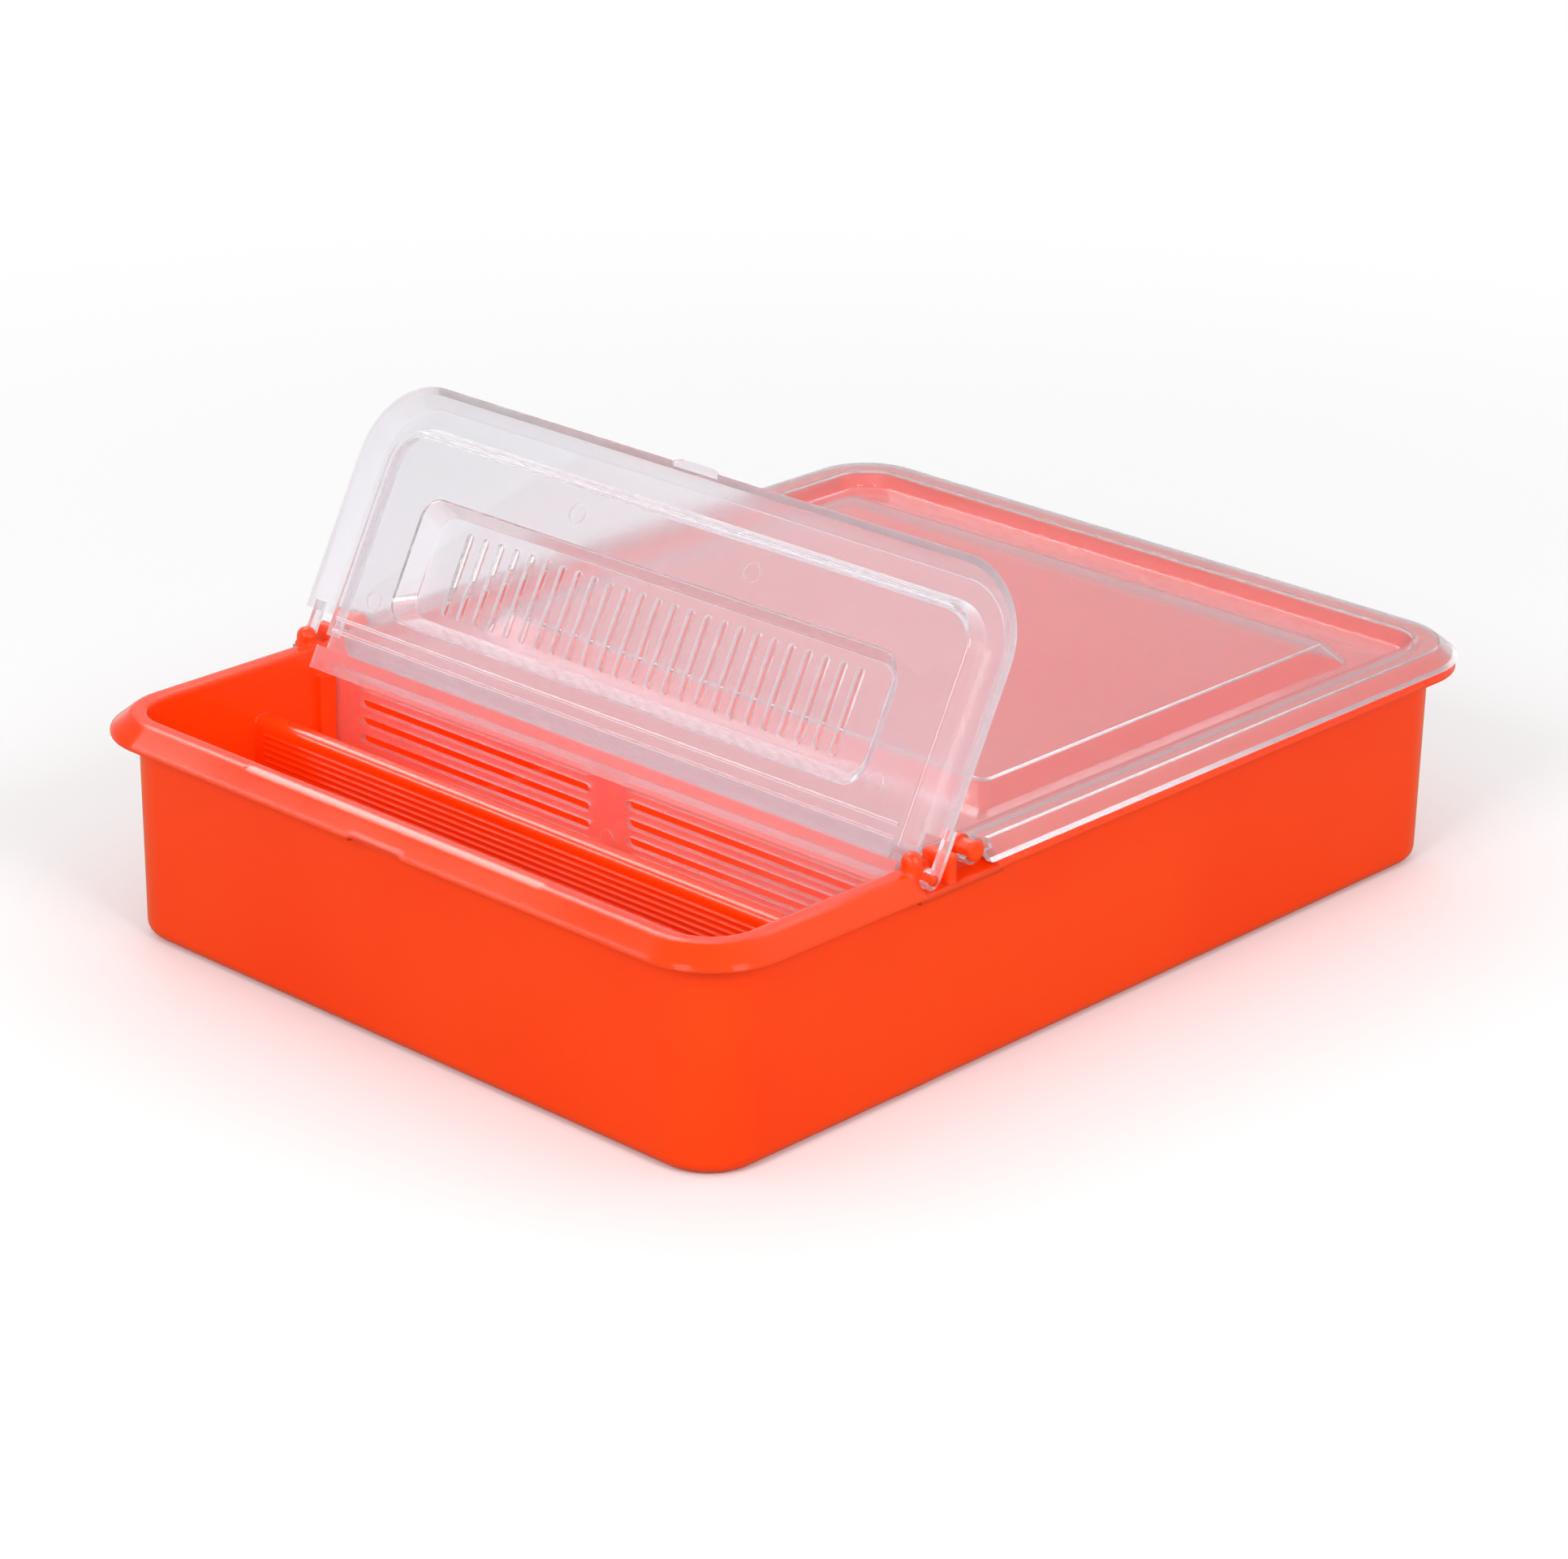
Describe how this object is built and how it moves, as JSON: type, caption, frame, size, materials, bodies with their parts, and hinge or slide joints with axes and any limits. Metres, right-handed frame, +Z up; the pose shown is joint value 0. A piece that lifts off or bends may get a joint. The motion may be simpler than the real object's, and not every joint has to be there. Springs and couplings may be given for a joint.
{
  "type": "bee feeder",
  "caption": "Hive-top syrup feeder: a flared tub with a rung wall and a slotted divider, a hinged vented front flap and a hinged translucent rear lid.",
  "frame": {"origin": "centre of the tub's underside", "axes": "+Z up, -Y towards the flap end, +X to the right when the flap end faces the viewer"},
  "size_m": [0.1906, 0.2512, 0.1072],
  "materials": {
    "orange_plastic": "glossy moulded polypropylene",
    "clear_plastic": "translucent natural polypropylene"
  },
  "bodies": {
    "tub": {"tub": "orange_plastic", "divider": "clear_plastic"},
    "front_flap": {"front_flap": "clear_plastic"},
    "rear_lid": {"rear_lid": "clear_plastic"}
  },
  "joints": [
    {"name": "flap_hinge", "type": "hinge", "parent": "tub", "child": "front_flap", "pos_m": [0, -0.0621, 0.0496], "axis": [1, 0, 0], "range_deg": [0, 117.5]},
    {"name": "lid_hinge", "type": "hinge", "parent": "tub", "child": "rear_lid", "pos_m": [0, -0.049, 0.052], "axis": [1, 0, 0], "range_deg": [0, 60]}
  ]
}
